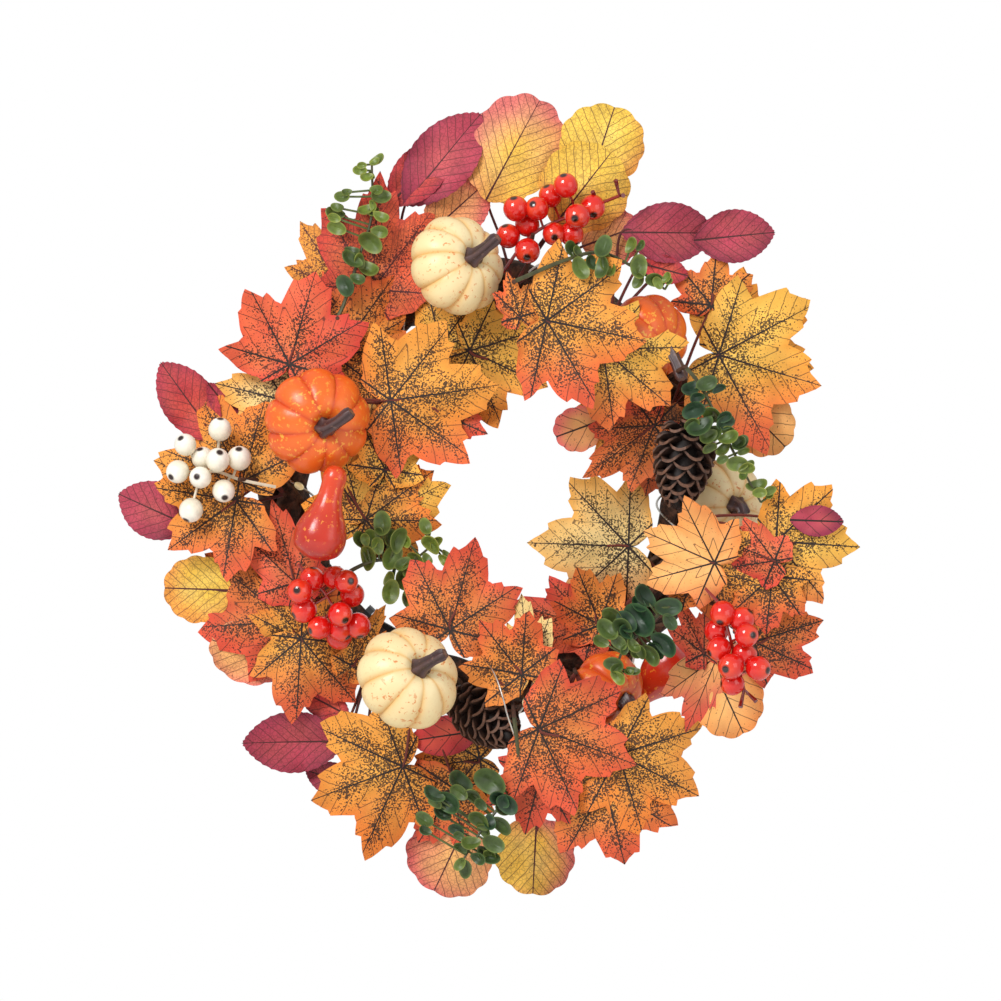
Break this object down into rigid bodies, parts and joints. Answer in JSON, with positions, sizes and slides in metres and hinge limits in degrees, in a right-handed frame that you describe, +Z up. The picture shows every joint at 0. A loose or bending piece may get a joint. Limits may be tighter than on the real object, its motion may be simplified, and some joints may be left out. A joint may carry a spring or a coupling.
{
  "type": "harvest door wreath",
  "caption": "Twisted vine ring wreath dressed with autumn leaves, mini pumpkins, gourds, pine cones, berry picks and a battery light string; hangs from a door hook.",
  "frame": {"origin": "the underside of the vine ring's bundle at twelve o'clock, midway between its front and back, where a door hook carries it", "axes": "+Z up as it hangs, +X to the right seen from the front, -Y out from the door towards the viewer, +Y towards the door"},
  "size_m": [0.3842, 0.1527, 0.4201],
  "materials": {
    "vine": "dry dark-brown vine bark, matt",
    "orange_leaf": "printed polyester cloth, orange with dark speckle",
    "red_leaf": "printed polyester cloth, wine red with dark veins",
    "gold_leaf": "printed polyester cloth, golden yellow to pink",
    "eucalyptus": "moulded soft plastic, dark green with lime tips",
    "cream_foam": "painted foam, cream with orange flecks, satin",
    "orange_foam": "painted foam, orange-red with yellow flecks, satin",
    "stem_foam": "painted foam, dark brown, satin",
    "gourd_foam": "lacquered foam, deep red",
    "cone_scale": "natural dried cone scales, dark brown, matt",
    "red_berry": "glossy moulded plastic, bright red",
    "white_berry": "satin moulded plastic, ivory white",
    "silver_wire": "bare silver-coloured copper wire",
    "box_plastic": "black moulded ABS, fine texture",
    "cell_jacket": "plain printed jacket on a dry cell",
    "contact_steel": "nickel-plated spring steel",
    "tie_nylon": "black nylon band"
  },
  "bodies": {
    "wreath": {"battery_box": "box_plastic", "battery_cell_1": "cell_jacket", "battery_cell_2": "cell_jacket", "box_tie_1": "tie_nylon", "box_tie_2": "tie_nylon", "cream_pumpkin_1": "cream_foam", "cream_pumpkin_1_stem": "stem_foam", "cream_pumpkin_2": "cream_foam", "cream_pumpkin_2_stem": "stem_foam", "cream_pumpkin_3": "cream_foam", "cream_pumpkin_3_stem": "stem_foam", "eucalyptus_sprig_1": "eucalyptus", "eucalyptus_sprig_2": "eucalyptus", "eucalyptus_sprig_3": "eucalyptus", "eucalyptus_sprig_4": "eucalyptus", "eucalyptus_sprig_5": "eucalyptus", "eucalyptus_sprig_6": "eucalyptus", "lead_contact": "contact_steel", "leaf_spray_11_oclock": "red_leaf", "led_wire": "silver_wire", "maple_spray_10_inner": "orange_leaf", "maple_spray_10_oclock": "red_leaf", "maple_spray_12_inner": "gold_leaf", "maple_spray_1_oclock": "orange_leaf", "maple_spray_2_oclock": "gold_leaf", "maple_spray_3_inner": "orange_leaf", "maple_spray_3_oclock": "orange_leaf", "maple_spray_4_inner": "gold_leaf", "maple_spray_4_oclock": "red_leaf", "maple_spray_5_oclock": "orange_leaf", "maple_spray_6_oclock": "orange_leaf", "maple_spray_7_oclock": "orange_leaf", "maple_spray_8_oclock": "orange_leaf", "maple_spray_9_oclock": "orange_leaf", "orange_pumpkin_1": "orange_foam", "orange_pumpkin_1_stem": "stem_foam", "orange_pumpkin_2": "orange_foam", "orange_pumpkin_2_stem": "stem_foam", "orange_pumpkin_3": "orange_foam", "orange_pumpkin_3_stem": "stem_foam", "oval_spray_1_oclock": "red_leaf", "oval_spray_7_oclock": "red_leaf", "oval_spray_9_oclock": "red_leaf", "pine_cone_1": "cone_scale", "pine_cone_2": "cone_scale", "red_berry_pick_1": "red_berry", "red_berry_pick_2": "red_berry", "red_berry_pick_3": "red_berry", "red_gourd_1": "gourd_foam", "red_gourd_2": "gourd_foam", "round_spray_12_oclock": "gold_leaf", "round_spray_6_oclock": "gold_leaf", "round_spray_8_oclock": "gold_leaf", "spring_contact": "contact_steel", "vine_cane_1": "vine", "vine_cane_2": "vine", "vine_cane_3": "vine", "white_berry_pick": "white_berry"},
    "cover": {"battery_cover": "box_plastic"},
    "switch": {"switch_slider": "box_plastic"}
  },
  "joints": [
    {"name": "cover_slide", "type": "slide", "parent": "wreath", "child": "cover", "axis": [-0.8746, 0, 0.4848], "range_m": [0, 0.054]},
    {"name": "switch_slide", "type": "slide", "parent": "wreath", "child": "switch", "axis": [0.8746, 0, -0.4848], "range_m": [0, 0.004]}
  ]
}
